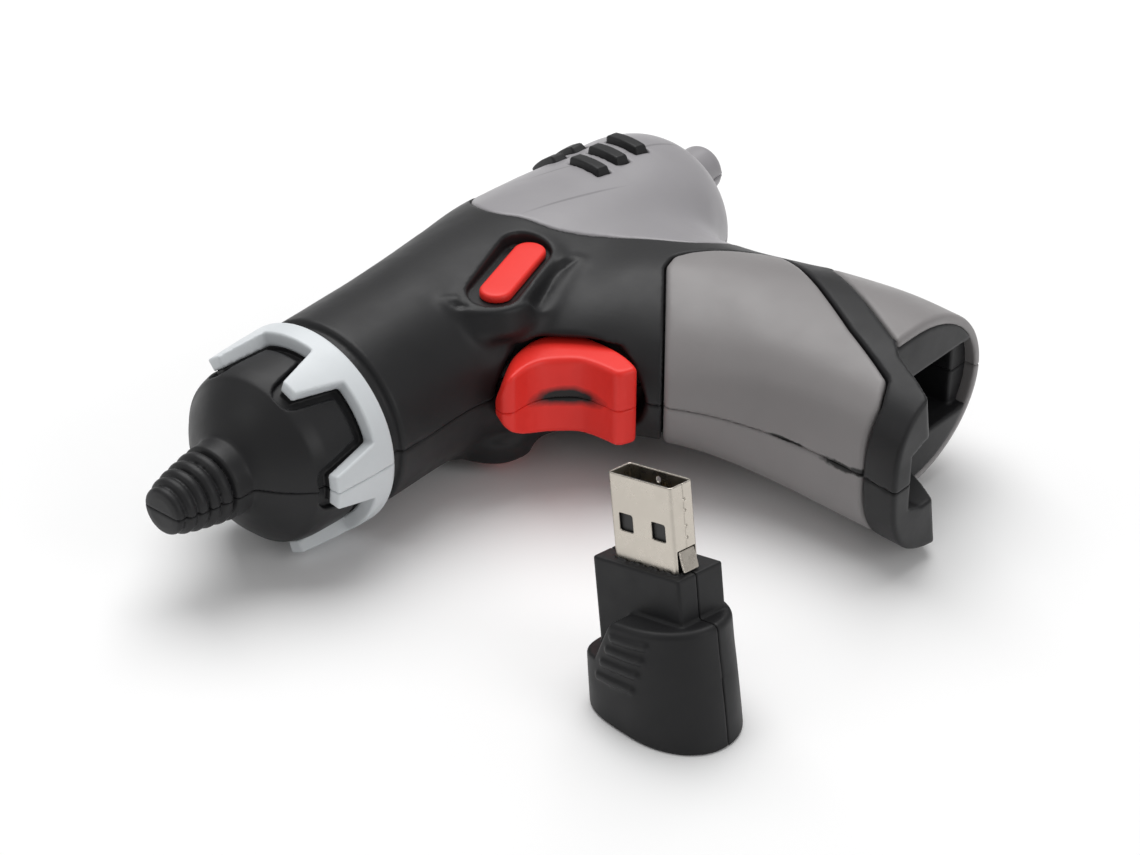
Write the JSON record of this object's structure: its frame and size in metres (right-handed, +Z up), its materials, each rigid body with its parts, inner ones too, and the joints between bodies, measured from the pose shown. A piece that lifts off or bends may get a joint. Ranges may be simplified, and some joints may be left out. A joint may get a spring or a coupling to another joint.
{
  "type": "drill-shaped memory stick",
  "caption": "Soft rubbery toy cordless drill lying on its side, with a pull-out USB memory stick shaped as its battery standing beside it.",
  "frame": {"origin": "centre of the bounding box at its underside, on the surface the drill and the stick stand on", "axes": "+X along the barrel towards the bit, +Y down the handle towards its open end, +Z up out of the drill's side"},
  "size_m": [0.1349, 0.1036, 0.0362],
  "materials": {
    "black_pvc": "satin",
    "stick_black_pvc": "satin",
    "grey_pvc": "satin",
    "cover_grey_pvc": "satin",
    "red_pvc": "satin",
    "silver_grey_pvc": "satin",
    "nickel_steel": "bright nickel plate",
    "black_insulator": "matte",
    "gold_plate": "gold plate",
    "green_board": "solder resist",
    "chip_black": "matte",
    "ceramic_tan": "matte"
  },
  "bodies": {
    "drill": {"body_shell_upper": "black_pvc", "chuck_upper": "black_pvc", "collar_upper": "silver_grey_pvc", "grip_back_panel_upper": "grey_pvc", "grip_side_panel_upper": "grey_pvc", "rear_cover_upper": "cover_grey_pvc", "side_button_upper": "red_pvc", "trigger_upper": "red_pvc", "vent_rib_upper_1": "black_pvc", "vent_rib_upper_2": "black_pvc", "vent_rib_upper_3": "black_pvc", "vent_rib_upper_4": "black_pvc", "vent_rib_upper_5": "black_pvc", "body_shell_lower": "black_pvc", "chuck_lower": "black_pvc", "collar_lower": "silver_grey_pvc", "grip_back_panel_lower": "grey_pvc", "grip_side_panel_lower": "grey_pvc", "rear_cover_lower": "cover_grey_pvc", "side_button_lower": "red_pvc", "trigger_lower": "red_pvc", "vent_rib_lower_1": "black_pvc", "vent_rib_lower_2": "black_pvc", "vent_rib_lower_3": "black_pvc", "vent_rib_lower_4": "black_pvc", "vent_rib_lower_5": "black_pvc"},
    "stick": {"stick_shell_front": "stick_black_pvc", "stick_shell_back": "stick_black_pvc", "usb_shell": "nickel_steel", "usb_tongue": "black_insulator", "usb_contact_1": "gold_plate", "usb_contact_2": "gold_plate", "usb_contact_3": "gold_plate", "usb_contact_4": "gold_plate", "circuit_board": "green_board", "flash_chip": "chip_black", "controller_chip": "chip_black", "clock_crystal": "nickel_steel", "capacitor_1": "ceramic_tan", "capacitor_2": "ceramic_tan"}
  },
  "joints": [
    {"name": "stick_slide", "type": "slide", "parent": "drill", "child": "stick", "axis": [-0.8822, 0.4709, 0], "range_m": [0, 0.082]}
  ]
}
